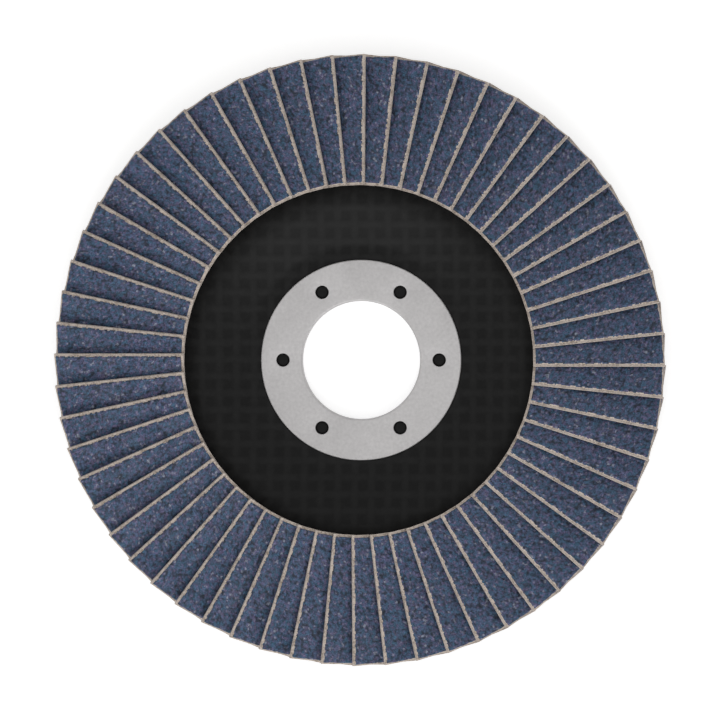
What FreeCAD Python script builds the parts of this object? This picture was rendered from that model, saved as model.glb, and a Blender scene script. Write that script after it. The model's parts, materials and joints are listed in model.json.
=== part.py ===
import FreeCAD, Part
import math
import os
import re

import Sketcher

# Flap disc for an angle grinder, lying on its back with the abrasive side up.
# Millimetres and degrees. The Z axis is the bore's axis and Z = 0 is the hub's back face.
# A moulded plate carries a pressed steel ring at its bore and, on its coned annulus,
# a bed of adhesive in which the overlapping flaps of coated cloth stand like roof tiles.

SIZES = {
    # Whole disc: the rim that the flaps reach, and the steel bore.
    "disc_diameter": 115.0,
    "bore_diameter": 22.23,
    # Backing plate: a flat hub, a step up and an annulus that slopes back to the rim.
    "plate_thickness": 2.6,
    "hub_margin": 2.6,
    "step_width": 8.5,
    "step_rise": 3.8,
    "step_round": 3.5,
    "cone_angle": 5.5,
    "plate_edge_bevel": 0.4,
    # Centre ring: a flange sunk a little into the hub and a collar through the plate.
    "ring_diameter": 37.8,
    "ring_thickness": 0.8,
    "ring_sink": 0.4,
    "flange_edge_bevel": 0.25,
    "bore_edge_bevel": 0.4,
    "collar_setback": 0.1,
    "ring_clearance": 0.05,
    # Keys: the plate's resin, risen into the flange's holes.
    "key_count": 6,
    "key_circle_diameter": 29.5,
    "key_hole_diameter": 2.5,
    "key_depth": 0.3,
    "key_clearance": 0.05,
    # Flaps: cloth with a coat of grit that stops short of the cut edges.
    "flap_count": 60,
    "flap_inner_diameter": 65.8,
    "flap_overhang": 4.0,
    "flap_width": 12.9,
    "flap_first_angle": 6.05,
    "flap_edge_offset": 1.32,
    "flap_clearance": 0.03,
    "cloth_thickness": 0.6,
    "coat_thickness": 0.5,
    "coat_side_margin": 0.3,
    "coat_inner_margin": 0.45,
    "coat_outer_margin": 0.2,
    "coat_side_slope": 20.0,
    # Adhesive bed between the plate and the flaps.
    "bed_inner_margin": 1.0,
    "bed_outer_margin": 1.0,
    "bed_thickness": 0.3,
    "bed_depth": 0.9,
}

FLAPS_PER_NODE = 2
TOUCH = 1e-4

CONE = "(cone_angle * 1 deg)"
PLATE_RADIUS = "(disc_diameter / 2 - flap_overhang)"
HUB_RADIUS = "(ring_diameter / 2 + hub_margin)"
SHOULDER_RADIUS = f"({HUB_RADIUS} + step_width)"
STEP_SLOPE = "atan(step_rise / step_width)"
COLLAR_RADIUS = "(bore_diameter / 2 + ring_thickness)"
FLANGE_BACK = "(plate_thickness - ring_sink)"
FLANGE_FRONT = f"({FLANGE_BACK} + ring_thickness)"


def bound(text):
    """Return an expression with each size written as a cell of the sheet."""
    return re.sub(r"\b[a-z]+(?:_[a-z]+)+\b", lambda word: "sizes." + word.group(), text)


def value(doc, text):
    """Return the number that an expression of the sizes gives."""
    result = doc.sizes.evalExpression(bound(text))
    return float(getattr(result, "Value", result))


def make_sheet(doc):
    """Fill the sheet of driving dimensions, one named cell a row."""
    sheet = doc.addObject("Spreadsheet::Sheet", "sizes")
    for row, (alias, number) in enumerate(SIZES.items(), 1):
        sheet.set(f"A{row}", alias)
        sheet.set(f"B{row}", str(number))
        sheet.setAlias(f"B{row}", alias)
    doc.recompute()


def annulus_top(radius):
    """Return the height of the plate's coned front face at a radius."""
    return f"(plate_thickness + step_rise - (({radius}) - {SHOULDER_RADIUS}) * tan({CONE}))"


def origin_plane(body, role):
    """Return one of the body's own origin planes by its role."""
    return next(item for item in body.Origin.OriginFeatures if item.Role == role)


def new_sketch(body, name, role, height="0"):
    """Attach an empty sketch to an origin plane, lifted by an expression."""
    sketch = body.newObject("Sketcher::SketchObject", name)
    sketch.AttachmentSupport = [(origin_plane(body, role), "")]
    sketch.MapMode = "FlatFace"
    if height != "0":
        sketch.setExpression("AttachmentOffset.Base.z", bound(height))
    return sketch


def place_point(sketch, item, end, corner):
    """Hold one point of a sketched item at the two expressions of a corner."""
    axes = {"DistanceX": -2, "DistanceY": -1}
    for kind, text in zip(axes, corner):
        if text == "0":
            sketch.addConstraint(Sketcher.Constraint("PointOnObject", item, end, axes[kind]))
            continue
        distance = value(sketch.Document, text)
        index = sketch.addConstraint(Sketcher.Constraint(kind, -1, 1, item, end, distance))
        sketch.setExpression(f"Constraints[{index}]", bound(text))


def draw_polygon(sketch, corners, rounds=()):
    """Draw a closed polygon whose corners are pairs of expressions.

    The rounds are pairs of a corner's number and a radius. Each becomes an arc that is
    tangent to both sides, and the sketch keeps the corner itself as a point.
    """
    points = [FreeCAD.Vector(*(value(sketch.Document, text) for text in corner), 0) for corner in corners]
    count = len(points)
    for number in range(count):
        segment = Part.LineSegment(points[number], points[(number + 1) % count])
        sketch.addGeometry(segment, False)
    for number in range(count):
        sketch.addConstraint(Sketcher.Constraint("Coincident", number, 2, (number + 1) % count, 1))
    items = list(range(count))
    arcs = []
    for number, radius in rounds:
        arcs.append((sketch.GeometryCount, radius))
        items[number] = sketch.GeometryCount + 1
        sketch.fillet(number, 1, value(sketch.Document, radius), True, True)
    for item, corner in zip(items, corners):
        place_point(sketch, item, 1, corner)
    for arc, radius in arcs:
        index = sketch.addConstraint(Sketcher.Constraint("Radius", arc, value(sketch.Document, radius)))
        sketch.setExpression(f"Constraints[{index}]", bound(radius))


def draw_circle(sketch, diameter, corner):
    """Draw a circle of a diameter about the point that two expressions give."""
    radius = value(sketch.Document, diameter) / 2
    centre = FreeCAD.Vector(*(value(sketch.Document, text) for text in corner), 0)
    circle = sketch.addGeometry(Part.Circle(centre, FreeCAD.Vector(0, 0, 1), radius), False)
    place_point(sketch, circle, 3, corner)
    index = sketch.addConstraint(Sketcher.Constraint("Diameter", circle, 2 * radius))
    sketch.setExpression(f"Constraints[{index}]", bound(diameter))


def revolve(body, name, section, rounds=()):
    """Turn a section of named corners, radius and height, about the Z axis."""
    sketch = new_sketch(body, name + "_section", "XZ_Plane")
    names = list(section)
    draw_polygon(sketch, list(section.values()), [(names.index(corner), size) for corner, size in rounds])
    turned = body.newObject("PartDesign::Revolution", name)
    turned.Profile = sketch
    turned.ReferenceAxis = (sketch, ["V_Axis"])
    turned.Angle = 360
    sketch.Document.recompute()
    return turned


def bevel_corners(body, name, base, section, corners, size):
    """Bevel the circular edges that the named corners of a section turned into."""
    doc = body.Document
    places = [tuple(value(doc, text) for text in section[corner]) for corner in corners]
    edges = []
    for number, edge in enumerate(base.Shape.Edges, 1):
        if not isinstance(edge.Curve, Part.Circle):
            continue
        ring = (edge.Curve.Radius, edge.Curve.Center.z)
        if any(math.dist(ring, place) < TOUCH for place in places):
            edges.append(f"Edge{number}")
    bevel = body.newObject("PartDesign::Chamfer", name)
    bevel.Base = (base, edges)
    bevel.setExpression("Size", bound(size))
    doc.recompute()
    return bevel


def pad(body, name, sketch, length):
    """Raise a sketch along its normal by an expression."""
    raised = body.newObject("PartDesign::Pad", name)
    raised.Profile = sketch
    raised.setExpression("Length", bound(length))
    return raised


def ring_pattern(body, name, feature, count):
    """Repeat a feature evenly about the Z axis."""
    pattern = body.newObject("PartDesign::PolarPattern", name)
    pattern.Originals = [feature]
    pattern.Axis = (next(item for item in body.Origin.OriginFeatures if item.Role == "Z_Axis"), [""])
    pattern.Angle = 360
    pattern.setExpression("Occurrences", bound(count))
    body.Tip = pattern
    body.Document.recompute()
    return pattern


def make_backing_plate(doc):
    """Mould the plate: its dished section, rounded steps and the keys of the ring."""
    body = doc.addObject("PartDesign::Body", "backing_plate")
    seat = "(ring_diameter / 2 + ring_clearance)"
    bore = f"({COLLAR_RADIUS} + ring_clearance)"
    half_turn = f"(({STEP_SLOPE} + {CONE}) / 2)"
    half_lean = f"(({STEP_SLOPE} - {CONE}) / 2)"
    shoulder_height = annulus_top(SHOULDER_RADIUS)
    section = {
        "bore_back": (bore, "0"),
        "hub_back": (f"{HUB_RADIUS} + plate_thickness * tan({STEP_SLOPE} / 2)", "0"),
        "shoulder_back": (
            f"{SHOULDER_RADIUS} + plate_thickness * sin({half_lean}) / cos({half_turn})",
            f"{shoulder_height} - plate_thickness * cos({half_lean}) / cos({half_turn})",
        ),
        "rim_back": (PLATE_RADIUS, f"{annulus_top(PLATE_RADIUS)} - plate_thickness / cos({CONE})"),
        "rim_front": (PLATE_RADIUS, annulus_top(PLATE_RADIUS)),
        "shoulder_front": (SHOULDER_RADIUS, shoulder_height),
        "hub_front": (HUB_RADIUS, "plate_thickness"),
        "seat_edge": (seat, "plate_thickness"),
        "seat_floor": (seat, FLANGE_BACK),
        "bore_front": (bore, FLANGE_BACK),
    }
    outer_round = "step_round + plate_thickness"
    rounds = [
        ("hub_back", outer_round),
        ("shoulder_back", "step_round"),
        ("shoulder_front", outer_round),
        ("hub_front", "step_round"),
    ]
    plate = revolve(body, "plate", section, rounds)
    bevel_corners(body, "rim_bevel", plate, section, ["rim_front", "rim_back"], "plate_edge_bevel")
    sketch = new_sketch(body, "key_outline", "XY_Plane", FLANGE_BACK)
    draw_circle(sketch, "key_hole_diameter - 2 * key_clearance", ("key_circle_diameter / 2", "0"))
    key = pad(body, "key", sketch, "ring_thickness - key_depth")
    ring_pattern(body, "keys", key, "key_count")
    return body


def make_centre_ring(doc):
    """Press the steel ring: a flange with key holes, turned down into a collar."""
    body = doc.addObject("PartDesign::Body", "centre_ring")
    bore = "(bore_diameter / 2)"
    flange = "(ring_diameter / 2)"
    section = {
        "collar_inside": (bore, "collar_setback"),
        "collar_outside": (COLLAR_RADIUS, "collar_setback"),
        "bend": (COLLAR_RADIUS, FLANGE_BACK),
        "flange_back": (flange, FLANGE_BACK),
        "flange_front": (flange, FLANGE_FRONT),
        "bore_front": (bore, FLANGE_FRONT),
    }
    ring = revolve(body, "ring", section)
    ring = bevel_corners(body, "flange_bevel", ring, section, ["flange_front"], "flange_edge_bevel")
    bevel_corners(body, "bore_bevel", ring, section, ["bore_front"], "bore_edge_bevel")
    sketch = new_sketch(body, "hole_outline", "XY_Plane", FLANGE_FRONT)
    draw_circle(sketch, "key_hole_diameter", ("key_circle_diameter / 2", "0"))
    solid = body.Shape.Volume
    hole = body.newObject("PartDesign::Pocket", "hole")
    hole.Profile = sketch
    hole.setExpression("Length", bound("2 * ring_thickness"))
    doc.recompute()
    if body.Shape.Volume >= solid:
        raise RuntimeError("The key hole cuts nothing from the ring")
    ring_pattern(body, "holes", hole, "key_count")
    return body


class FlapLay:
    """Where a flap lies: its tilt, its three directions and the place of its first corner.

    A flap's own axes are its length along the exposed edge, outwards and down with the
    plate's cone, its width, down and under the next flap, and its normal. It is tilted
    just so far that it clears the next flap where the two are closest, at the hidden
    corner of the inner end, and the flaps then fan apart towards the rim.
    """

    def __init__(self, doc):
        self.doc = doc
        self.cone = math.tan(math.radians(value(doc, "cone_angle")))
        self.offset = value(doc, "flap_edge_offset")
        self.width = value(doc, "flap_width")
        self.rim = value(doc, "disc_diameter / 2")
        self.start = math.sqrt(value(doc, "flap_inner_diameter / 2") ** 2 - self.offset ** 2)
        slope = self.slope()
        self.length_axis = FreeCAD.Vector(1, 0, -self.cone).normalize()
        self.normal = FreeCAD.Vector(self.cone, slope, 1).normalize()
        self.width_axis = self.normal.cross(self.length_axis)
        end = math.sqrt(self.rim ** 2 - self.offset ** 2)
        self.edge_length = (end - self.start) / self.length_axis.x
        self.hidden_length = self.reach_of_hidden_corner()

    def slope(self):
        """Return the tangent of the tilt at which neighbours clear each other."""
        doc = self.doc
        pitch = 2 * math.pi / value(doc, "flap_count")
        sine = math.sin(pitch)
        versine = 1 - math.cos(pitch)
        thickness = value(doc, "cloth_thickness + coat_thickness + flap_clearance")
        gain = self.start * sine + self.width * versine
        loss = self.cone * (self.width * sine - self.start * versine)
        square = gain ** 2 - thickness ** 2
        rest = loss ** 2 - thickness ** 2 * (1 + self.cone ** 2)
        root = math.sqrt((gain * loss) ** 2 - square * rest)
        return (gain * loss + root) / square

    def reach_of_hidden_corner(self):
        """Return the hidden edge's length, which ends on the rim as the exposed one does."""
        side = self.width * self.width_axis.y - self.offset
        reach = math.sqrt(self.rim ** 2 - side ** 2)
        return (reach - self.start - self.width * self.width_axis.x) / self.length_axis.x

    def placement(self):
        """Return the placement of the flap at angle zero, seated over the plate's cone."""
        shift = self.length_axis * self.hidden_length + self.width_axis * self.width
        seat = value(self.doc, annulus_top(self.rim) + " + bed_thickness")
        corner = FreeCAD.Vector(self.start, -self.offset, seat - shift.z)
        turn = FreeCAD.Rotation(self.length_axis, self.width_axis, self.normal, "XYZ")
        return FreeCAD.Placement(corner, turn)


def make_flap(doc, lay):
    """Make one flap flat in its own plane: the cloth, and the coat of grit on it."""
    body = doc.addObject("PartDesign::Body", "flap_blank")
    edge = f"{lay.edge_length:.6f}"
    hidden = f"{lay.hidden_length:.6f}"
    cloth = new_sketch(body, "cloth_outline", "XY_Plane")
    draw_polygon(cloth, [("0", "0"), (edge, "0"), (hidden, "flap_width"), ("0", "flap_width")])
    pad(body, "cloth", cloth, "cloth_thickness")
    coat = new_sketch(body, "coat_outline", "XY_Plane", "cloth_thickness")
    lean = f"coat_side_margin * ({edge} - {hidden}) / flap_width"
    outline = [
        ("coat_inner_margin", "coat_side_margin"),
        (f"{edge} - {lean} - coat_outer_margin", "coat_side_margin"),
        (f"{hidden} - coat_outer_margin", "flap_width"),
        ("coat_inner_margin", "flap_width"),
    ]
    draw_polygon(coat, outline)
    raised = pad(body, "coat", coat, "coat_thickness")
    raised.setExpression("TaperAngle", bound("-coat_side_slope"))
    doc.recompute()
    return body


def make_flap_nodes(doc, flap, lay):
    """Lay the flaps round the disc and group neighbours as separate solids of one node."""
    count = int(value(doc, "flap_count"))
    first = value(doc, "flap_first_angle")
    flat = lay.placement()
    axis = FreeCAD.Vector(0, 0, 1)
    flaps = []
    for number in range(count):
        link = doc.addObject("App::Link", f"flap_{number + 1:02d}")
        link.LinkedObject = flap
        turn = FreeCAD.Rotation(axis, first + number * 360 / count)
        link.Placement = FreeCAD.Placement(FreeCAD.Vector(), turn) * flat
        flaps.append(link)
    nodes = []
    for start in range(0, count, FLAPS_PER_NODE):
        node = doc.addObject("Part::Compound", f"flap_pair_{start // FLAPS_PER_NODE + 1:02d}")
        node.Links = flaps[start:start + FLAPS_PER_NODE]
        nodes.append(node)
    doc.recompute()
    return nodes


def make_adhesive_bed(doc, flap_nodes):
    """Cast the bed: a coned ring with the print of every flap that stands in it.

    The ring has one straight length for each flap, mitred to the next. The middle of
    each length touches the plate's cone, and its mitres clear it by a few microns.
    """
    body = doc.addObject("PartDesign::Body", "bed_blank")
    inside = "(flap_inner_diameter / 2 + bed_inner_margin)"
    outside = f"({PLATE_RADIUS} - bed_outer_margin)"
    middle = "cos(180 deg / flap_count)"
    inside_back = annulus_top(f"{inside} * {middle}")
    outside_back = annulus_top(f"{outside} * {middle}")
    rise = "bed_thickness + bed_depth"
    section = [
        (inside, inside_back),
        (outside, outside_back),
        (outside, f"{outside_back} + {rise}"),
        (inside, f"{inside_back} + {rise}"),
    ]
    sketch = new_sketch(body, "bed_section", "XZ_Plane")
    draw_polygon(sketch, section)
    path = doc.addObject("Part::RegularPolygon", "bed_path")
    path.setExpression("Polygon", bound("flap_count"))
    path.setExpression("Circumradius", bound(inside))
    doc.recompute()
    ring = doc.addObject("Part::Sweep", "bed_ring")
    ring.Sections = [sketch]
    ring.Spine = (path, [f"Edge{number}" for number in range(1, len(path.Shape.Edges) + 1)])
    ring.Solid = True
    ring.Transition = "Right corner"
    prints = doc.addObject("Part::Compound", "flap_prints")
    prints.Links = flap_nodes
    bed = doc.addObject("Part::Cut", "adhesive_bed")
    bed.Base = ring
    bed.Tool = prints
    doc.recompute()
    return bed


def check_document(doc, nodes):
    """Stop if any object failed, or any node has no valid solid."""
    for item in doc.Objects:
        if "Invalid" in item.State or "Error" in item.State:
            raise RuntimeError(f"{item.Label} failed: {item.State}")
    for node in nodes:
        shape = node.Shape
        if shape.isNull() or not shape.isValid() or not shape.Solids:
            raise RuntimeError(f"{node.Label} has no valid solid")


def main():
    """Build the disc and write each node's solids."""
    doc = FreeCAD.newDocument("flap_disc")
    make_sheet(doc)
    plate = make_backing_plate(doc)
    ring = make_centre_ring(doc)
    lay = FlapLay(doc)
    flap = make_flap(doc, lay)
    flap_nodes = make_flap_nodes(doc, flap, lay)
    bed = make_adhesive_bed(doc, flap_nodes)
    nodes = [plate, ring, bed] + flap_nodes
    doc.recompute()
    check_document(doc, nodes)
    os.makedirs("parts", exist_ok=True)
    for node in nodes:
        node.Shape.exportStep(f"parts/{node.Label}.step")


main()
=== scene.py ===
"""Dress a flap disc: sixty flaps of coated cloth, a glass-fibre plate and a steel ring."""

import json
import logging
import math
from collections.abc import Iterable, Sequence
from dataclasses import dataclass
from enum import Enum

import bmesh
import bpy
from bmesh.types import BMEdge, BMFace, BMesh, BMVert
from bpy.types import Material, Node, NodeSocket, Object, World
from mathutils import Matrix, Vector, noise


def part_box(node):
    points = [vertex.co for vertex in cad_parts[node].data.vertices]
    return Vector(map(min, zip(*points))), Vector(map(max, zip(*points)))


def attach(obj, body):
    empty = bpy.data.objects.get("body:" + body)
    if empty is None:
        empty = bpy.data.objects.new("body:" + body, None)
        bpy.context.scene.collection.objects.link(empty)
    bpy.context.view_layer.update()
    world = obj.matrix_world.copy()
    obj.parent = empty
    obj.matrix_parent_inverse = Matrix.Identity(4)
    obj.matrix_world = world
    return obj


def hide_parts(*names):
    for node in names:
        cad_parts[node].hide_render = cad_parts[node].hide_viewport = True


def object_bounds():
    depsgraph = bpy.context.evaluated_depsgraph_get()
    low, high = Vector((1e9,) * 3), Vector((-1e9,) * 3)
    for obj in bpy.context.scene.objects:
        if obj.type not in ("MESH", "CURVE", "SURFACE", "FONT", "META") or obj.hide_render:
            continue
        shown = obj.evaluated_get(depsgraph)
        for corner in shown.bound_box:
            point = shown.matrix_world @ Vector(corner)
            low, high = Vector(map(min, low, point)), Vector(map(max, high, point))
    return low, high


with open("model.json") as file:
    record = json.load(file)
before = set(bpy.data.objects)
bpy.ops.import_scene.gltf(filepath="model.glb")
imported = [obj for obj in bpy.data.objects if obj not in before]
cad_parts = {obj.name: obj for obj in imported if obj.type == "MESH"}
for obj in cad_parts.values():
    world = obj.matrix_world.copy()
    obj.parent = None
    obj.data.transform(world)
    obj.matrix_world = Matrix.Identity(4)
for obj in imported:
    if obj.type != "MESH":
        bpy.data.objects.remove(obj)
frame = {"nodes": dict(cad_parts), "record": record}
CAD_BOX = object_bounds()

Colour = tuple[float, float, float, float]
Pair = tuple[float, float]

LOG = logging.getLogger("flap_disc")
MM = 0.001
BODY = "root"
AXIS = Vector((0.0, 0.0, 1.0))
NOISE_SPAN = (0.3, 0.7)


class Slot(Enum):
    """The names of the record's material slots for the plate, the ring and the flaps."""

    PLATE = "plate_resin"
    RING = "ring_steel"
    FLAP = "abrasive_cloth"


class Border(Enum):
    """The borders of a flap's coat, numbered so that each chips in its own way."""

    SIDE = 1
    INSIDE = 2
    OUTSIDE = 3


def linear(share: float) -> float:
    """Return the linear light of one colour share of 0 to 255."""
    share /= 255
    return share / 12.92 if share <= 0.04045 else ((share + 0.055) / 1.055) ** 2.4


def srgb(red: float, green: float, blue: float) -> Colour:
    """Return a colour for a shader from its red, green and blue as a screen shows them."""
    return (linear(red), linear(green), linear(blue), 1.0)


def ease(low: float, high: float, value: float) -> float:
    """Return a smooth rise from 0 at low to 1 at high."""
    share = min(max((value - low) / (high - low), 0.0), 1.0)
    return share * share * (3 - 2 * share)


def graded(*stretches: Pair) -> list[float]:
    """Divide a length, finer in some stretches than in others.

    Args:
        stretches: The end of each stretch from zero, and its largest spacing.

    Returns:
        The rising positions, from 0 to the end of the last stretch.
    """
    places = [0.0]
    for end, spacing in stretches:
        start = places[-1]
        count = max(1, math.ceil((end - start) / spacing))
        places += [start + (end - start) * step / count for step in range(1, count + 1)]
    return places


class NodePainter:
    """Builds the node tree of one material or world, a node at a time."""

    def __init__(self, owner: Material | World) -> None:
        """Empty the owner's tree but for an output.

        Args:
            owner: The new material or world.
        """
        self.owner = owner
        owner.use_nodes = True
        self.tree = owner.node_tree
        self.tree.nodes.clear()
        kind = "World" if isinstance(owner, World) else "Material"
        self.output = self.tree.nodes.new(f"ShaderNodeOutput{kind}")

    def node(self, kind: str, inputs: dict | None = None, **settings: object) -> Node:
        """Add a node.

        Args:
            kind: The node's type.
            inputs: Its inputs by name or number, each a socket to link or a plain value.
            settings: Its properties.

        Returns:
            The new node.
        """
        made = self.tree.nodes.new(kind)
        for key, setting in settings.items():
            setattr(made, key, setting)
        for key, source in (inputs or {}).items():
            if isinstance(source, NodeSocket):
                self.tree.links.new(source, made.inputs[key])
            else:
                made.inputs[key].default_value = source
        return made

    def place(self) -> NodeSocket:
        """Return the point's place in the disc's own frame, in metres."""
        return self.node("ShaderNodeTexCoord").outputs["Object"]

    def attribute(self, name: str) -> NodeSocket:
        """Return a value that the mesh carries."""
        return self.node("ShaderNodeAttribute", attribute_name=name).outputs["Fac"]

    def noise(self, place: NodeSocket, size: float, detail: float = 2.0) -> NodeSocket:
        """Return soft noise, about 0.5 on average, with patches of a size in metres."""
        inputs = {"Vector": place, "Scale": 1 / size, "Detail": detail}
        return self.node("ShaderNodeTexNoise", inputs).outputs["Fac"]

    def ramp(self, value: NodeSocket, *stops: tuple[float, Colour]) -> NodeSocket:
        """Return the colour that a value picks from a row of stops.

        Args:
            value: The value, 0 to 1.
            stops: Each stop's place and colour.

        Returns:
            The colour.
        """
        made = self.node("ShaderNodeValToRGB", {"Fac": value})
        elements = made.color_ramp.elements
        while len(elements) < len(stops):
            elements.new(0.5)
        for element, (position, colour) in zip(elements, stops):
            element.position = position
            element.color = colour
        return made.outputs["Color"]

    def band(self, value: NodeSocket, span: Pair, result: Pair = (0.0, 1.0)) -> NodeSocket:
        """Return a value stretched from one span to another and held at its ends."""
        ends = dict(zip(("From Min", "From Max", "To Min", "To Max"), (*span, *result)))
        return self.node("ShaderNodeMapRange", {"Value": value} | ends).outputs["Result"]

    def vary(self, value: NodeSocket, result: Pair) -> NodeSocket:
        """Return noise stretched from its usual span to another."""
        return self.band(value, NOISE_SPAN, result)

    def math(self, operation: str, first: object, second: object) -> NodeSocket:
        """Return the sum, product or other join of two values."""
        return self.node("ShaderNodeMath", {0: first, 1: second}, operation=operation).outputs[0]

    def blend(self, *parts: tuple[NodeSocket, float]) -> NodeSocket:
        """Return the sum of two values, each taken by its share."""
        first, second = (self.math("MULTIPLY", value, share) for value, share in parts)
        return self.math("ADD", first, second)

    def mix(self, share: object, first: object, second: object) -> NodeSocket:
        """Return the mix of two colours by a share."""
        inputs = {0: share, 6: first, 7: second}
        return self.node("ShaderNodeMix", inputs, data_type="RGBA").outputs[2]

    def scale(self, colour: NodeSocket, share: NodeSocket) -> NodeSocket:
        """Return a colour made lighter or darker by a share."""
        inputs = {0: colour, "Scale": share}
        return self.node("ShaderNodeVectorMath", inputs, operation="SCALE").outputs[0]

    def bump(self, height: NodeSocket, depth: float, strength: float) -> NodeSocket:
        """Return the normal of a fine relief with a depth in metres."""
        inputs = {"Height": height, "Distance": depth, "Strength": strength}
        return self.node("ShaderNodeBump", inputs).outputs["Normal"]

    def finish(self, inputs: dict) -> Material:
        """Close the material with one principled surface and return it."""
        self.show(self.node("ShaderNodeBsdfPrincipled", inputs))
        return self.owner

    def show(self, shader: Node) -> None:
        """Link a shader to the tree's output."""
        self.tree.links.new(shader.outputs[0], self.output.inputs["Surface"])

    def white_rays(self) -> NodeSocket:
        """Find the rays that see the background.

        Returns:
            1 for the camera's rays and those mirrored or let through, and 0 for the rest.
        """
        path = self.node("ShaderNodeLightPath")
        seen = self.math("MAXIMUM", path.outputs["Is Camera Ray"], path.outputs["Is Glossy Ray"])
        return self.math("MAXIMUM", seen, path.outputs["Is Transmission Ray"])


@dataclass(frozen=True)
class GritFinish:
    """The coat: grains of grit in resin, dark in the valleys and pale on some grains."""

    valley: Colour = srgb(36, 44, 58)
    cool_grain: Colour = srgb(50, 81, 104)
    grain: Colour = srgb(67, 79, 106)
    violet_grain: Colour = srgb(84, 78, 108)
    pale_grain: Colour = srgb(114, 122, 136)
    tone_stops: tuple[float, ...] = (0.0, 0.4, 0.72, 0.92)
    height_span: Pair = (0.05, 0.6)
    fleck_size: float = 0.22 * MM
    fleck_span: Pair = (0.55, 1.45)
    clump_size: float = 0.9 * MM
    clump_span: Pair = (0.75, 1.25)
    patch_size: float = 5.0 * MM
    patch_span: Pair = (0.35, 0.65)
    rough_span: Pair = (0.55, 0.8)
    relief: float = 0.04 * MM

    def make(self) -> Material:
        """Make the coat's material.

        Returns:
            The material, which reads the height and tone of the grit from the mesh.
        """
        paint = NodePainter(bpy.data.materials.new("grit_coat"))
        place = paint.place()
        colours = (self.cool_grain, self.grain, self.violet_grain, self.pale_grain)
        grains = paint.ramp(paint.attribute("grit_tone"), *zip(self.tone_stops, colours))
        depth = paint.band(paint.attribute("grit_height"), self.height_span)
        fleck = paint.vary(paint.noise(place, self.fleck_size, detail=1.0), self.fleck_span)
        clump = paint.vary(paint.noise(place, self.clump_size, detail=1.0), self.clump_span)
        shade = paint.math("MULTIPLY", fleck, clump)
        patch = paint.noise(place, self.patch_size)
        relief = paint.noise(place, self.fleck_size, detail=3.0)
        return paint.finish({
            "Base Color": paint.scale(paint.mix(depth, self.valley, grains), shade),
            "Roughness": paint.band(patch, self.patch_span, self.rough_span),
            "Specular IOR Level": 0.35,
            "Normal": paint.bump(relief, self.relief, strength=0.8),
        })


@dataclass(frozen=True)
class ClothFinish:
    """The backing cloth: cream cotton in resin, with its threads at the cut edges."""

    cream: Colour = srgb(196, 184, 174)
    shade: Colour = srgb(142, 129, 117)
    shade_stop: float = 0.34
    cream_stop: float = 0.56
    thread_size: float = 0.35 * MM
    thread_share: float = 0.65
    patch_size: float = 2.2 * MM
    patch_share: float = 0.35
    relief: float = 0.08 * MM

    def make(self) -> Material:
        """Make the cloth's material.

        Returns:
            The material.
        """
        paint = NodePainter(bpy.data.materials.new("backing_cloth"))
        place = paint.place()
        thread = paint.noise(place, self.thread_size)
        patch = paint.noise(place, self.patch_size)
        share = paint.blend((thread, self.thread_share), (patch, self.patch_share))
        stops = (self.shade_stop, self.shade), (self.cream_stop, self.cream)
        return paint.finish({
            "Base Color": paint.ramp(share, *stops),
            "Roughness": 0.9,
            "Specular IOR Level": 0.2,
            "Sheen Weight": 0.15,
            "Normal": paint.bump(thread, self.relief, strength=0.7),
        })


@dataclass(frozen=True)
class ResinFinish:
    """The plate: black resin over a square mesh of glass strands."""

    resin: Colour = srgb(9, 9, 9)
    strand: Colour = srgb(25, 25, 25)
    resin_stop: float = 0.35
    strand_stop: float = 0.95
    strand_share: float = 0.5
    speck_size: float = 0.8 * MM
    speck_share: float = 0.8
    rough_span: Pair = (0.46, 0.56)
    relief: float = 0.03 * MM

    def make(self) -> Material:
        """Make the plate's material.

        Returns:
            The material, which reads the strands from the mesh.
        """
        paint = NodePainter(bpy.data.materials.new("glass_fibre_resin"))
        strand = paint.attribute("strand")
        speck = paint.noise(paint.place(), self.speck_size, detail=3.0)
        share = paint.blend((strand, self.strand_share), (speck, self.speck_share))
        stops = (self.resin_stop, self.resin), (self.strand_stop, self.strand)
        return paint.finish({
            "Base Color": paint.ramp(share, *stops),
            "Roughness": paint.vary(speck, self.rough_span),
            "Specular IOR Level": 0.18,
            "Normal": paint.bump(speck, self.relief, strength=0.5),
        })


@dataclass(frozen=True)
class SteelFinish:
    """The ring: plain sheet steel with a dull pressed skin."""

    steel: Colour = srgb(200, 198, 198)
    dull: Colour = srgb(193, 191, 191)
    dull_stop: float = 0.35
    steel_stop: float = 0.65
    cloud_size: float = 6.0 * MM
    mottle_size: float = 0.6 * MM
    mottle_span: Pair = (0.94, 1.06)
    grain_size: float = 0.25 * MM
    rough_span: Pair = (0.56, 0.64)
    relief: float = 0.01 * MM

    def make(self) -> Material:
        """Make the ring's material.

        Returns:
            The material.
        """
        paint = NodePainter(bpy.data.materials.new("pressed_steel"))
        place = paint.place()
        cloud = paint.noise(place, self.cloud_size, detail=4.0)
        mottle = paint.vary(paint.noise(place, self.mottle_size), self.mottle_span)
        grain = paint.noise(place, self.grain_size)
        stops = (self.dull_stop, self.dull), (self.steel_stop, self.steel)
        return paint.finish({
            "Base Color": paint.scale(paint.ramp(cloud, *stops), mottle),
            "Metallic": 0.6,
            "Roughness": paint.vary(grain, self.rough_span),
            "Normal": paint.bump(grain, self.relief, strength=0.35),
        })


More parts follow.
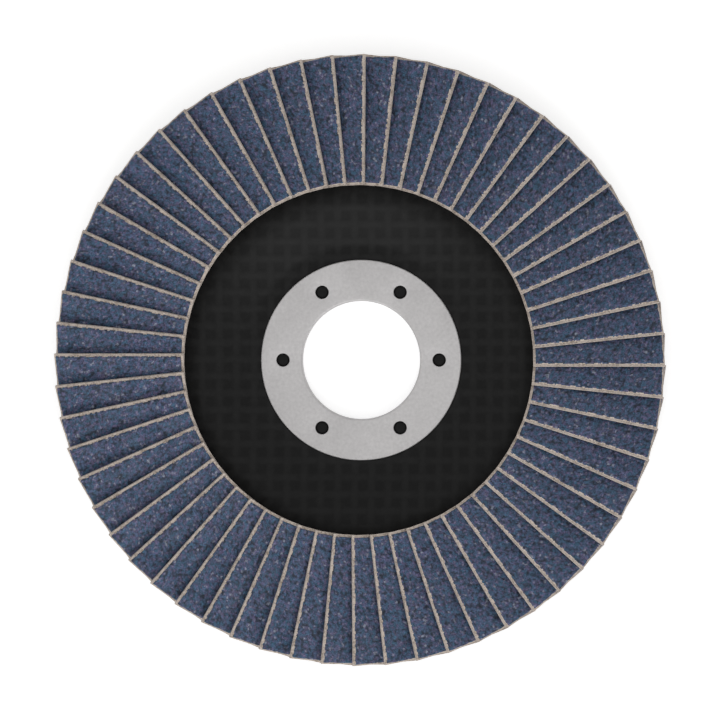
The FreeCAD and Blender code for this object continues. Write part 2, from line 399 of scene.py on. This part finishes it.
@dataclass(frozen=True)
class EpoxyFinish:
    """The adhesive bed: dark cast epoxy with a wet gloss."""

    epoxy: Colour = srgb(44, 36, 28)
    cloudy: Colour = srgb(66, 54, 40)
    epoxy_stop: float = 0.35
    cloudy_stop: float = 0.7
    cloud_size: float = 3.0 * MM
    rough_span: Pair = (0.25, 0.45)
    relief: float = 0.2 * MM

    def make(self) -> Material:
        """Make the adhesive's material.

        Returns:
            The material.
        """
        paint = NodePainter(bpy.data.materials.new("cast_epoxy"))
        cloud = paint.noise(paint.place(), self.cloud_size, detail=3.0)
        stops = (self.epoxy_stop, self.epoxy), (self.cloudy_stop, self.cloudy)
        return paint.finish({
            "Base Color": paint.ramp(cloud, *stops),
            "Roughness": paint.vary(cloud, self.rough_span),
            "Normal": paint.bump(cloud, self.relief, strength=0.5),
        })


@dataclass(frozen=True)
class Corner:
    """A corner of a turned section, and how far apart the points after it lie."""

    radius: float
    height: float
    rounding: float
    spacing: float

    def place(self) -> Vector:
        """Return the corner as a point of the section."""
        return Vector((self.radius, self.height))


def section_points(corners: Sequence[Corner], arc_spacing: float) -> list[Vector]:
    """Walk round a closed section whose corners are rounded by tangent arcs.

    Args:
        corners: The section's corners in order.
        arc_spacing: The largest distance between points on a rounding.

    Returns:
        The section's points, radius and height.
    """
    points: list[Vector] = []
    count = len(corners)
    for number, corner in enumerate(corners):
        here = corner.place()
        after = corners[(number + 1) % count]
        entry = (here - corners[number - 1].place()).normalized()
        leave = (after.place() - here).normalized()
        if corner.rounding:
            side = math.copysign(1.0, entry.x * leave.y - entry.y * leave.x)
            turn = entry.angle(leave)
            start = here - entry * corner.rounding * math.tan(turn / 2)
            centre = start + Vector((-entry.y, entry.x)) * side * corner.rounding
            steps = max(2, math.ceil(corner.rounding * turn / arc_spacing))
            for step in range(steps + 1):
                arm = start - centre
                arm.rotate(Matrix.Rotation(side * turn * step / steps, 2))
                points.append(centre + arm)
        else:
            points.append(here)
        last = points[-1]
        goal = after.place()
        if after.rounding:
            exit_turn = leave.angle((corners[(number + 2) % count].place() - goal).normalized())
            goal = goal - leave * after.rounding * math.tan(exit_turn / 2)
        gaps = math.ceil((goal - last).length / corner.spacing)
        points += [last.lerp(goal, step / gaps) for step in range(1, gaps)]
    return points


def turn_section(bm: BMesh, points: Sequence[Vector], steps: int) -> None:
    """Spin a closed section a full turn about the bore's axis.

    Args:
        bm: The mesh that takes the turned faces.
        points: The section's points, radius and height.
        steps: The number of steps in the turn.
    """
    chain = [bm.verts.new((point.x, 0.0, point.y)) for point in points]
    edges = [bm.edges.new((chain[place - 1], vert)) for place, vert in enumerate(chain)]
    bmesh.ops.spin(bm, geom=chain + edges, cent=(0, 0, 0), axis=AXIS, angle=math.tau,
                   steps=steps, use_merge=True)
    bmesh.ops.recalc_face_normals(bm, faces=bm.faces)


def new_loop(bm: BMesh, centre: Vector, radius: float, height: float,
             segments: int) -> list[BMEdge]:
    """Start a circle of edges.

    Args:
        bm: The mesh that takes it.
        centre: The circle's centre in plan.
        radius: Its radius.
        height: Its height.
        segments: Its number of edges.

    Returns:
        The circle's edges.
    """
    shift = Matrix.Translation((centre.x, centre.y, height))
    made = bmesh.ops.create_circle(bm, cap_ends=False, radius=radius, segments=segments,
                                   matrix=shift)
    return list(dict.fromkeys(edge for vert in made["verts"] for edge in vert.link_edges))


def grow_loop(bm: BMesh, edges: list[BMEdge]) -> tuple[list[BMEdge], list[BMVert]]:
    """Extrude a closed loop of edges where it lies.

    Args:
        bm: The mesh that holds the loop.
        edges: The loop's edges.

    Returns:
        The edges and the points of the new loop, which are still to be moved.
    """
    grown = bmesh.ops.extrude_edge_only(bm, edges=edges)["geom"]
    verts = [item for item in grown if isinstance(item, BMVert)]
    return [item for item in grown if isinstance(item, BMEdge)], verts


def carry_loop(bm: BMesh, edges: list[BMEdge], centre: Vector,
               stations: Iterable[Pair]) -> list[BMEdge]:
    """Extrude a circle of edges through a row of stations, each a radius and a height.

    Args:
        bm: The mesh that holds the circle.
        edges: The circle's edges.
        centre: Its centre in plan.
        stations: The radius and height of each new circle.

    Returns:
        The edges of the last circle.
    """
    for radius, height in stations:
        edges, verts = grow_loop(bm, edges)
        for vert in verts:
            arm = Vector((vert.co.x - centre.x, vert.co.y - centre.y)).normalized() * radius
            vert.co = (centre.x + arm.x, centre.y + arm.y, height)
    return edges


def rounded_edge(radius: float, height: float, rounding: float, outward: float,
                 steps: int = 5) -> list[Pair]:
    """Return the stations of an upper edge's quarter round, from its flat to its wall.

    Args:
        radius: The radius of the wall.
        height: The height of the flat.
        rounding: The round's radius.
        outward: 1 for an outer edge, -1 for the edge of a hole.
        steps: The number of stations.

    Returns:
        The radius and height of each station after the flat's own edge.
    """
    turns = [math.pi / 2 * step / steps for step in range(1, steps + 1)]
    return [
        (radius - outward * rounding * (1 - math.sin(turn)),
         height - rounding * (1 - math.cos(turn)))
        for turn in turns
    ]


def smooth_outside(bm: BMesh) -> None:
    """Turn a closed mesh's faces outwards and shade them smoothly.

    Args:
        bm: The mesh.
    """
    bmesh.ops.recalc_face_normals(bm, faces=bm.faces)
    for face in bm.faces:
        face.smooth = True


def to_object(bm: BMesh, name: str, finishes: Sequence[Material], sharp: float) -> Object:
    """Make a finished bmesh an object of the scene.

    Args:
        bm: The mesh, which is freed.
        name: The piece's name.
        finishes: The materials of its faces, in order.
        sharp: The angle in degrees above which an edge stays sharp.

    Returns:
        The object, at the origin.
    """
    mesh = bpy.data.meshes.new(name)
    bm.to_mesh(mesh)
    bm.free()
    for finish in finishes:
        mesh.materials.append(finish)
    mesh.set_sharp_from_angle(angle=math.radians(sharp))
    piece = bpy.data.objects.new(name, mesh)
    bpy.context.scene.collection.objects.link(piece)
    return piece


def fit_piece(piece: Object, node: str) -> None:
    """Seat a piece on the disc's body in the place of the solid that it dresses.

    Args:
        piece: The finished piece.
        node: The solid that it stands for.
    """
    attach(piece, BODY)
    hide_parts(node)
    LOG.info("%s: %d faces", piece.name, len(piece.data.polygons))


@dataclass
class CentreRing:
    """The pressed steel ring: a flange with key holes, turned down into a collar."""

    finish: Material
    node: str = "centre_ring"
    thickness: float = 0.8 * MM
    hole_count: int = 6
    hole_circle_radius: float = 14.75 * MM
    hole_radius: float = 1.25 * MM
    rim_rounding: float = 0.25 * MM
    bore_rounding: float = 0.45 * MM
    hole_rounding: float = 0.12 * MM
    collar_rounding: float = 0.2 * MM
    collar_bow: float = 0.3
    segments: int = 256
    hole_segments: int = 48

    def __post_init__(self) -> None:
        """Read the ring's outer sizes from its solid and its bore's mount."""
        low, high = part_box(self.node)
        self.flange_radius = high.x
        self.front = high.z
        self.collar_end = low.z
        bore = next(mount for mount in frame["record"]["mounts"] if mount["name"] == "bore")
        self.bore_radius = bore["dims"]["r_mm"] * MM

    def hole_places(self) -> list[Vector]:
        """Place the key holes.

        Returns:
            Their centres in plan.
        """
        turns = [math.tau * number / self.hole_count for number in range(self.hole_count)]
        reach = self.hole_circle_radius
        return [Vector((math.cos(turn), math.sin(turn))) * reach for turn in turns]

    def collar(self, back: float) -> list[Pair]:
        """Return the stations of the collar, down the bore and up its outside.

        Args:
            back: The height of the flange's back.

        Returns:
            The radius and height of each station.
        """
        outside = self.bore_radius + self.thickness
        end = self.collar_end
        rounding = self.collar_rounding
        bow = self.collar_bow * rounding
        return [
            (self.bore_radius, end + rounding),
            (self.bore_radius + bow, end + bow),
            (self.bore_radius + rounding, end),
            (outside - rounding, end),
            (outside - bow, end + bow),
            (outside, end + rounding),
            (outside, back),
        ]

    def mesh(self) -> BMesh:
        """Press the ring.

        Returns:
            The closed mesh of the ring.
        """
        bm = bmesh.new()
        middle = Vector((0.0, 0.0))
        front = self.front
        back = front - self.thickness
        rim = new_loop(bm, middle, self.flange_radius - self.rim_rounding, front, self.segments)
        bore = new_loop(bm, middle, self.bore_radius + self.bore_rounding, front, self.segments)
        holes = [
            new_loop(bm, place, self.hole_radius + self.hole_rounding, front, self.hole_segments)
            for place in self.hole_places()
        ]
        bmesh.ops.triangle_fill(bm, use_beauty=True, edges=rim + bore + sum(holes, []))
        round_rim = rounded_edge(self.flange_radius, front, self.rim_rounding, 1)
        rim = carry_loop(bm, rim, middle, round_rim + [(self.flange_radius, back)])
        round_bore = rounded_edge(self.bore_radius, front, self.bore_rounding, -1)
        bore = carry_loop(bm, bore, middle, round_bore + self.collar(back))
        round_hole = rounded_edge(self.hole_radius, front, self.hole_rounding, -1)
        ends = []
        for place, hole in zip(self.hole_places(), holes):
            ends += carry_loop(bm, hole, place, round_hole + [(self.hole_radius, back)])
        bmesh.ops.triangle_fill(bm, use_beauty=True, edges=rim + bore + ends)
        smooth_outside(bm)
        return bm

    def build(self) -> None:
        """Make the ring and seat it in its solid's place."""
        piece = to_object(self.mesh(), "ring_pressing", [self.finish], sharp=25)
        fit_piece(piece, self.node)


@dataclass
class BackingPlate:
    """The moulded plate: a flat hub, a step, a coned annulus and the ring's resin keys."""

    finish: Material
    ring: CentreRing
    node: str = "backing_plate"
    thickness: float = 2.6 * MM
    hub_margin: float = 2.6 * MM
    step_width: float = 8.5 * MM
    step_rise: float = 3.8 * MM
    step_rounding: float = 3.5 * MM
    edge_rounding: float = 0.35 * MM
    seat_rounding: float = 0.1 * MM
    cone_angle: float = math.radians(5.5)
    clearance: float = 0.05 * MM
    ring_sink: float = 0.4 * MM
    key_depth: float = 0.3 * MM
    key_root: float = 0.2 * MM
    key_dome: float = 0.3 * MM
    key_crown: tuple[Pair, ...] = ((1.0, 1.0), (0.93, 0.6), (0.75, 0.25), (0.4, 0.05))
    key_segments: int = 40
    strand_pitch: float = 3.18 * MM
    strand_shift: Pair = (-1.13 * MM, 0.18 * MM)
    strand_width: float = 1.5 * MM
    strand_depth: float = 0.07 * MM
    strand_wave: float = 0.2
    strand_fade: float = 0.9 * MM
    rim_margin: float = 0.3 * MM
    open_lean: Pair = (0.5, 0.8)
    steps: int = 512
    arc_spacing: float = 0.45 * MM
    fine: float = 0.36 * MM
    middling: float = 0.7 * MM
    coarse: float = 2.0 * MM

    def __post_init__(self) -> None:
        """Work out the section's main places from the solid and the ring's sizes."""
        self.rim_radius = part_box(self.node)[1].x
        self.hub_radius = self.ring.flange_radius + self.hub_margin
        self.shoulder_radius = self.hub_radius + self.step_width
        self.seat_radius = self.ring.flange_radius + self.clearance
        self.seat_height = self.thickness - self.ring_sink
        self.bore_radius = self.ring.bore_radius + self.ring.thickness + self.clearance
        self.slope_angle = math.atan2(self.step_rise, self.step_width)

    def front_height(self, radius: float) -> float:
        """Return the height of the coned front face at a radius beyond the shoulder."""
        fall = (radius - self.shoulder_radius) * math.tan(self.cone_angle)
        return self.thickness + self.step_rise - fall

    def corners(self) -> list[Corner]:
        """Lay out the plate's section.

        Returns:
            Its corners, from the bore's back round to the bore's front.
        """
        half_turn = (self.slope_angle + self.cone_angle) / 2
        half_lean = (self.slope_angle - self.cone_angle) / 2
        wall = self.thickness
        outer = self.step_rounding + wall
        inner = self.step_rounding
        hub_back = self.hub_radius + wall * math.tan(self.slope_angle / 2)
        shoulder_back = self.shoulder_radius + wall * math.sin(half_lean) / math.cos(half_turn)
        shoulder_drop = wall * math.cos(half_lean) / math.cos(half_turn)
        shoulder_height = self.front_height(self.shoulder_radius)
        rim_height = self.front_height(self.rim_radius)
        rim_back = rim_height - wall / math.cos(self.cone_angle)
        return [
            Corner(self.bore_radius, 0.0, 0.0, self.middling),
            Corner(hub_back, 0.0, outer, self.middling),
            Corner(shoulder_back, shoulder_height - shoulder_drop, inner, self.middling),
            Corner(self.rim_radius, rim_back, self.edge_rounding, self.middling),
            Corner(self.rim_radius, rim_height, self.edge_rounding, self.coarse),
            Corner(self.shoulder_radius, shoulder_height, outer, self.fine),
            Corner(self.hub_radius, self.thickness, inner, self.fine),
            Corner(self.seat_radius, self.thickness, self.seat_rounding, self.coarse),
            Corner(self.seat_radius, self.seat_height, 0.0, self.coarse),
            Corner(self.bore_radius, self.seat_height, 0.0, self.middling),
        ]

    def strand_crown(self, across: float, along: float) -> float:
        """Return how far the strands of one direction stand out at a place.

        Args:
            across: The place across the strands.
            along: The place along them.

        Returns:
            1 on top of a strand, less where it dips under another, and 0 beside it.
        """
        row = round(across / self.strand_pitch)
        away = abs(across - row * self.strand_pitch) / (self.strand_width / 2)
        crown = math.sqrt(max(0.0, 1 - away * away))
        wave = math.cos(math.pi * (along / self.strand_pitch + row))
        return crown * (1 - self.strand_wave + self.strand_wave * wave)

    def strand_height(self, x: float, y: float) -> float:
        """Return how far the glass mesh stands out at a place in plan.

        Args:
            x: The place across one set of strands.
            y: The place across the other.

        Returns:
            1 on top of a strand and 0 in the windows between the strands.
        """
        x -= self.strand_shift[0]
        y -= self.strand_shift[1]
        return max(self.strand_crown(x, y), self.strand_crown(y, x + self.strand_pitch))

    def press_mesh(self, bm: BMesh) -> None:
        """Sink the windows of the glass mesh into the open faces, and mark its strands.

        Args:
            bm: The turned plate.
        """
        strand_layer = bm.verts.layers.float.new("strand")
        fade_end = self.rim_radius - self.rim_margin
        fade_start = self.rim_radius - self.strand_fade
        bm.normal_update()
        for vert in bm.verts:
            radius = math.hypot(vert.co.x, vert.co.y)
            height = self.strand_height(vert.co.x, vert.co.y)
            vert[strand_layer] = height
            in_front = vert.normal.z > self.open_lean[0]
            start = self.seat_radius if in_front else self.bore_radius
            fade = ease(start, start + self.strand_fade, radius)
            fade *= 1 - ease(fade_start, fade_end, radius)
            fade *= ease(*self.open_lean, abs(vert.normal.z))
            vert.co -= vert.normal * self.strand_depth * (1 - height) * fade

    def add_keys(self, bm: BMesh) -> None:
        """Raise a low domed key in each hole of the ring, rooted in the seat.

        Args:
            bm: The mesh that takes the keys.
        """
        radius = self.ring.hole_radius - self.clearance
        root = self.seat_height - self.key_root
        top = self.ring.front - self.key_depth
        crown = [(share * radius, top - drop * self.key_dome) for share, drop in self.key_crown]
        for place in self.ring.hole_places():
            base = new_loop(bm, place, radius, root, self.key_segments)
            bmesh.ops.edgeloop_fill(bm, edges=base)
            bmesh.ops.edgeloop_fill(bm, edges=carry_loop(bm, base, place, crown))

    def mesh(self) -> BMesh:
        """Mould the plate.

        Returns:
            The closed mesh of the plate and its keys.
        """
        bm = bmesh.new()
        turn_section(bm, section_points(self.corners(), self.arc_spacing), self.steps)
        self.press_mesh(bm)
        self.add_keys(bm)
        smooth_outside(bm)
        return bm

    def build(self) -> None:
        """Make the plate and seat it in its solid's place."""
        piece = to_object(self.mesh(), "plate_moulding", [self.finish], sharp=35)
        fit_piece(piece, self.node)


@dataclass
class FlapLay:
    """Where a flap lies, from the sizes that its solid has.

    A flap's own axes are its length along the exposed edge, outwards and down with the
    plate's cone, its width, down and under the next flap, and its normal.
    """

    plate: BackingPlate
    count: int = 60
    first_angle: float = math.radians(6.05)
    rim_radius: float = 57.5 * MM
    inner_radius: float = 32.9 * MM
    edge_offset: float = 1.32 * MM
    width: float = 12.9 * MM
    cloth: float = 0.6 * MM
    coat: float = 0.5 * MM
    clearance: float = 0.03 * MM
    bed: float = 0.3 * MM

    def __post_init__(self) -> None:
        """Work out the flap's three directions, its edge lengths and its first corner."""
        self.cone = math.tan(self.plate.cone_angle)
        self.start = math.sqrt(self.inner_radius ** 2 - self.edge_offset ** 2)
        self.length_axis = Vector((1, 0, -self.cone)).normalized()
        self.normal = Vector((self.cone, self.slope(), 1)).normalized()
        self.width_axis = self.normal.cross(self.length_axis)
        edge_end = math.sqrt(self.rim_radius ** 2 - self.edge_offset ** 2)
        self.edge_length = (edge_end - self.start) / self.length_axis.x
        side = self.width * self.width_axis.y - self.edge_offset
        hidden_end = math.sqrt(self.rim_radius ** 2 - side ** 2)
        hidden_reach = hidden_end - self.start - self.width * self.width_axis.x
        self.hidden_length = hidden_reach / self.length_axis.x
        shift = self.length_axis * self.hidden_length + self.width_axis * self.width
        seat = self.plate.front_height(self.rim_radius) + self.bed
        self.corner = Vector((self.start, -self.edge_offset, seat - shift.z))

    def slope(self) -> float:
        """Work out how far a flap has to tilt.

        Returns:
            The tangent of the tilt at which neighbours clear each other.
        """
        pitch = math.tau / self.count
        sine = math.sin(pitch)
        versine = 1 - math.cos(pitch)
        thickness = self.cloth + self.coat + self.clearance
        gain = self.start * sine + self.width * versine
        loss = self.cone * (self.width * sine - self.start * versine)
        square = gain ** 2 - thickness ** 2
        rest = loss ** 2 - thickness ** 2 * (1 + self.cone ** 2)
        return (gain * loss + math.sqrt((gain * loss) ** 2 - square * rest)) / square

    def matrix(self, number: int) -> Matrix:
        """Return what carries a flap from its own axes to its place on the disc.

        Args:
            number: The flap's number, counted from 0 counterclockwise.

        Returns:
            The flap's placement.
        """
        axes = Matrix((self.length_axis, self.width_axis, self.normal)).transposed().to_4x4()
        turn = Matrix.Rotation(self.first_angle + math.tau * number / self.count, 4, AXIS)
        return turn @ Matrix.Translation(self.corner) @ axes

    def length_at(self, across: float) -> float:
        """Return the flap's length at a distance from its exposed edge."""
        return self.edge_length + (self.hidden_length - self.edge_length) * across / self.width


@dataclass
class FlapRing:
    """The sixty flaps of coated cloth, made in neighbouring pairs as their solids are.

    The colours of each pair are baked through a map, where each flap has its own half. The
    shelves are the low edge and the height that its surfaces take up in that half.
    """

    lay: FlapLay
    finishes: Sequence[Material]
    pair_size: int = 2
    side_margin: float = 0.33 * MM
    inner_margin: float = 0.38 * MM
    outer_margin: float = 0.2 * MM
    coat_slope: float = 0.16 * MM
    bare_share: float = 0.4
    long_chip: float = 1.4 * MM
    long_chip_depth: float = 0.1 * MM
    short_chip: float = 0.35 * MM
    short_chip_depth: float = 0.09 * MM
    short_chip_seed: float = 50.0
    grain_size: float = 0.45 * MM
    grain_depth: float = 0.2 * MM
    grain_reach: float = 0.85
    grain_low: float = 0.35
    grain_lift: float = 1.3
    height_draw: float = 7.3
    tone_draw: float = 11.7
    tone_spread: float = 2.6
    thread_pitch: float = 0.42 * MM
    thread_depth: float = 0.04 * MM
    wall_split: float = 0.55
    fray: float = 0.04 * MM
    border_width: float = 0.8 * MM
    shown_width: float = 6.8 * MM
    border_spacing: float = 0.09 * MM
    grain_spacing: float = 0.25 * MM
    hidden_spacing: float = 1.6 * MM
    map_border: float = 0.01
    woven_shelf: Pair = (0.005, 0.4)
    wall_shelf: Pair = (0.41, 0.012)
    wall_step: float = 0.016
    back_shelf: Pair = (0.475, 0.02)

    def __post_init__(self) -> None:
        """Lay out the rows and columns of a flap's surface."""
        length = self.lay.edge_length
        self.columns = graded(
            (self.border_width, self.border_spacing),
            (length - self.border_width / 2, self.grain_spacing),
            (length, self.border_spacing),
        )
        self.rows = graded(
            (self.border_width, self.border_spacing),
            (self.shown_width, self.grain_spacing),
            (self.lay.width, self.hidden_spacing),
        )

    def chip(self, place: float, border: Border, seed: float) -> float:
        """Return how far the coat is chipped back at a place along one of its borders.

        Args:
            place: The distance along the border.
            border: Which border it is.
            seed: The flap's own number.

        Returns:
            The distance, below zero where the coat stands out.
        """
        wide = noise.noise(Vector((place / self.long_chip, border.value, seed)))
        seed += self.short_chip_seed
        narrow = noise.noise(Vector((place / self.short_chip, border.value, seed)))
        return self.long_chip_depth * wide + self.short_chip_depth * narrow

    def coat_share(self, along: float, across: float, seed: float) -> float:
        """Return how much of the coat's height stands at a place.

        Args:
            along: The distance from the inner end.
            across: The distance from the exposed edge.
            seed: A number of the flap's own, so that no two flaps are alike.

        Returns:
            0 on bare cloth, 1 on the whole coat.
        """
        from_side = across - self.side_margin - self.chip(along, Border.SIDE, seed)
        from_inside = along - self.inner_margin - self.chip(across, Border.INSIDE, seed)
        end = self.lay.length_at(across) - self.outer_margin
        from_outside = end - self.chip(across, Border.OUTSIDE, seed) - along
        return ease(0.0, self.coat_slope, min(from_side, from_inside, from_outside))

    def grain(self, along: float, across: float, seed: float) -> Pair:
        """Read the grain of grit at a place.

        Args:
            along: The distance from the inner end.
            across: The distance from the exposed edge.
            seed: The flap's own number.

        Returns:
            The grain's height there and its tone, each 0 to 1.
        """
        place = Vector((along / self.grain_size, across / self.grain_size, seed))
        distances, points = noise.voronoi(place)
        own = noise.noise(points[0] * self.height_draw) * 0.5 + 0.5
        tone = abs(noise.noise(points[0] * self.tone_draw)) * self.tone_spread % 1.0
        dome = max(0.0, 1 - (distances[0] / self.grain_reach) ** 2)
        height = dome * (self.grain_low + (1 - self.grain_low) * own)
        return min(height * self.grain_lift, 1.0), tone

    def thread(self, along: float, across: float) -> float:
        """Return how far the cloth's threads dip at a place, 0 to 1."""
        ribs = [math.cos(math.tau * place / self.thread_pitch) for place in (along, across)]
        return 1 - max(0.5 + 0.5 * rib for rib in ribs)

    def weave_flap(self, number: int) -> BMesh:
        """Make one flap in its own axes, then carry it to its place.

        Args:
            number: The flap's number.

        Returns:
            The closed mesh of the flap.
        """
        bm = bmesh.new()
        lay = self.lay
        height_layer = bm.verts.layers.float.new("grit_height")
        tone_layer = bm.verts.layers.float.new("grit_tone")
        share_layer = bm.verts.layers.float.new("coat_share")
        across_count = len(self.rows) - 1
        along_count = len(self.columns) - 1
        bmesh.ops.create_grid(bm, x_segments=along_count, y_segments=across_count, size=0.5)
        seed = 10.0 * number
        for vert in bm.verts:
            column = self.columns[round((vert.co.x + 0.5) * along_count)]
            across = self.rows[round((vert.co.y + 0.5) * across_count)]
            along = column * lay.length_at(across) / lay.edge_length
            share = self.coat_share(along, across, seed)
            grain_height, tone = self.grain(along, across, seed)
            top = lay.coat - self.grain_depth * (1 - grain_height)
            dip = self.thread_depth * self.thread(along, across) * (1 - share)
            vert.co = (along, across, lay.cloth + share * top - dip)
            vert[height_layer] = grain_height
            vert[tone_layer] = tone
            vert[share_layer] = share
        for face in bm.faces:
            whole = sum(vert[share_layer] for vert in face.verts) / len(face.verts)
            face.material_index = 0 if whole > self.bare_share else 1
        woven = set(bm.faces)
        self.close_flap(bm, seed)
        self.unfold(bm, woven, number % self.pair_size)
        bm.transform(lay.matrix(number))
        return bm

    def close_flap(self, bm: BMesh, seed: float) -> None:
        """Give a flap's woven surface its cut walls and its back.

        Args:
            bm: The flap's surface.
            seed: The flap's own number.
        """
        woven = set(bm.faces)
        border = [edge for edge in bm.edges if edge.is_boundary]
        middle = Vector((self.lay.edge_length / 2, self.lay.width / 2, 0))
        for height in (self.wall_split * self.lay.cloth, 0.0):
            border, verts = grow_loop(bm, border)
            for vert in verts:
                vert.co.z = height
                if height:
                    place = vert.co / self.thread_pitch + Vector((0, 0, seed))
                    inward = (middle - vert.co).normalized()
                    vert.co += inward * self.fray * (0.5 + 0.5 * noise.noise(place))
        bmesh.ops.edgeloop_fill(bm, edges=border)
        for face in bm.faces:
            if face not in woven:
                face.material_index = 1
                face.smooth = True
        bmesh.ops.recalc_face_normals(bm, faces=bm.faces)

    def unfold(self, bm: BMesh, woven: set[BMFace], half: int) -> None:
        """Lay a flap's faces side by side on the map that its colours are baked through.

        Args:
            bm: The closed flap, in its own axes.
            woven: The faces of its woven surface.
            half: The flap's number in its pair, which picks its half of the map.
        """
        lay = self.lay
        layer = bm.loops.layers.uv.new("OFBake")
        floor = half / self.pair_size
        reach = 1 - 2 * self.map_border
        for face in bm.faces:
            middle = face.calc_center_median()
            outer_gap = lay.length_at(middle.y) - middle.x
            walls = [middle.y, lay.width - middle.y, middle.x, outer_gap]
            side = walls.index(min(walls))
            for corner in face.loops:
                spot = corner.vert.co
                along = spot.x / lay.edge_length
                across = spot.y / lay.width
                if face in woven:
                    (low, height), share = self.woven_shelf, across
                elif len(face.verts) > 4:
                    (low, height), share = self.back_shelf, across
                else:
                    (low, height), share = self.wall_shelf, spot.z / (lay.cloth + lay.coat)
                    low += self.wall_step * side
                    along = along if side < 2 else across
                spread = self.map_border + reach * along
                corner[layer].uv = (spread, floor + low + height * share)

    def build(self) -> None:
        """Make every pair of flaps and seat it in its solids' place."""
        for pair in range(self.lay.count // self.pair_size):
            whole = bmesh.new()
            for number in range(pair * self.pair_size, (pair + 1) * self.pair_size):
                flap = self.weave_flap(number)
                part = bpy.data.meshes.new("flap")
                flap.to_mesh(part)
                flap.free()
                whole.from_mesh(part)
                bpy.data.meshes.remove(part)
            piece = to_object(whole, f"coated_flaps_{pair + 1:02d}", self.finishes, sharp=60)
            fit_piece(piece, f"flap_pair_{pair + 1:02d}")


@dataclass
class AdhesiveBed:
    """The cast bed between the plate and the flaps, whose solid keeps its shape."""

    finish: Material
    node: str = "adhesive_bed"

    def dress(self) -> None:
        """Give the bed its finish."""
        solid = frame["nodes"][self.node]
        solid.data.materials.clear()
        solid.data.materials.append(self.finish)
        LOG.info("%s: dressed", self.node)


@dataclass
class Studio:
    """The pale floor, the white surroundings, the lamps and the camera.

    Each lamp has a name, a direction in plan and a power in watts.
    """

    distance: float = 1.85
    lean: float = math.radians(3.8)
    frame_width: float = 135.5 * MM
    sensor: float = 36.0
    clip_end: float = 20.0
    floor_size: float = 6.0
    floor_gap: float = 0.2 * MM
    floor_tone: float = 0.8
    floor_lift: float = 0.52
    ambient: float = 0.95
    lamp_size: float = 0.5
    lamp_distance: float = 1.2
    lamp_height: float = math.radians(30)
    lamps: tuple[tuple[str, float, float], ...] = (
        ("left", math.radians(-110), 2.2),
        ("right", math.radians(-62), 2.8),
    )

    def lay_floor(self) -> None:
        """Lay the floor: pale, lifted to white for the camera, and keeping shadows."""
        bm = bmesh.new()
        bmesh.ops.create_grid(bm, x_segments=1, y_segments=1, size=self.floor_size / 2)
        bmesh.ops.translate(bm, verts=bm.verts, vec=(0, 0, -self.floor_gap))
        paint = NodePainter(bpy.data.materials.new("pale_floor"))
        tone = (self.floor_tone, self.floor_tone, self.floor_tone, 1)
        pale = paint.node("ShaderNodeBsdfDiffuse", {"Color": tone})
        lift = paint.math("MULTIPLY", paint.white_rays(), self.floor_lift)
        glow = paint.node("ShaderNodeEmission", {"Color": (1, 1, 1, 1), "Strength": lift})
        paint.show(paint.node("ShaderNodeAddShader", {0: pale.outputs[0], 1: glow.outputs[0]}))
        to_object(bm, "floor", [paint.owner], sharp=30)

    def light_world(self) -> None:
        """Surround the disc with even light that the camera sees as white."""
        world = bpy.data.worlds.new("white_room")
        bpy.context.scene.world = world
        paint = NodePainter(world)
        level = paint.band(paint.white_rays(), (0.0, 1.0), (self.ambient, 1.0))
        paint.show(paint.node("ShaderNodeBackground", {"Strength": level}))

    def hang_lamp(self, name: str, turn: float, power: float) -> None:
        """Hang a soft square lamp that faces the disc from the side.

        Args:
            name: The lamp's name.
            turn: Its direction in plan, counterclockwise from +X.
            power: Its power in watts.
        """
        light = bpy.data.lights.new(name, "AREA")
        light.shape = "SQUARE"
        light.size = self.lamp_size
        light.energy = power
        lamp = bpy.data.objects.new(name, light)
        bpy.context.scene.collection.objects.link(lamp)
        level = math.cos(self.lamp_height)
        height = math.sin(self.lamp_height)
        toward = Vector((level * math.cos(turn), level * math.sin(turn), height))
        lamp.matrix_world = self.aim(toward * self.lamp_distance, Vector((0, 0, 0)))
        lamp.visible_camera = False

    def aim(self, place: Vector, target: Vector) -> Matrix:
        """Return a placement that looks from a place at a target, with +Y upwards.

        Args:
            place: Where the camera or lamp stands.
            target: What it looks at.

        Returns:
            The placement.
        """
        back = (place - target).normalized()
        right = Vector((0, 1, 0)).cross(back).normalized()
        up = back.cross(right)
        return Matrix.Translation(place) @ Matrix((right, up, back)).transposed().to_4x4()

    def stand_camera(self) -> None:
        """Stand the camera above the disc, a little to its right, as the photograph has it."""
        data = bpy.data.cameras.new("camera")
        data.sensor_width = self.sensor
        data.lens = self.sensor * self.distance / self.frame_width
        data.clip_end = self.clip_end
        camera = bpy.data.objects.new("camera", data)
        bpy.context.scene.collection.objects.link(camera)
        target = (CAD_BOX[0] + CAD_BOX[1]) / 2
        toward = Vector((math.sin(self.lean), 0, math.cos(self.lean)))
        camera.matrix_world = self.aim(target + toward * self.distance, target)
        bpy.context.scene.camera = camera

    def build(self) -> None:
        """Set up the whole studio."""
        self.stand_camera()
        self.lay_floor()
        self.light_world()
        for name, turn, power in self.lamps:
            self.hang_lamp(name, turn, power)
        bpy.context.scene.view_settings.view_transform = "Standard"
        LOG.info("studio ready")


def main() -> None:
    """Build the studio and every piece of the disc, in order."""
    logging.basicConfig(level=logging.INFO, format="%(name)s: %(message)s")
    Studio().build()
    ring = CentreRing(SteelFinish().make())
    ring.build()
    plate = BackingPlate(ResinFinish().make(), ring)
    plate.build()
    AdhesiveBed(EpoxyFinish().make()).dress()
    FlapRing(FlapLay(plate), [GritFinish().make(), ClothFinish().make()]).build()


if __name__ == "__main__":
    main()
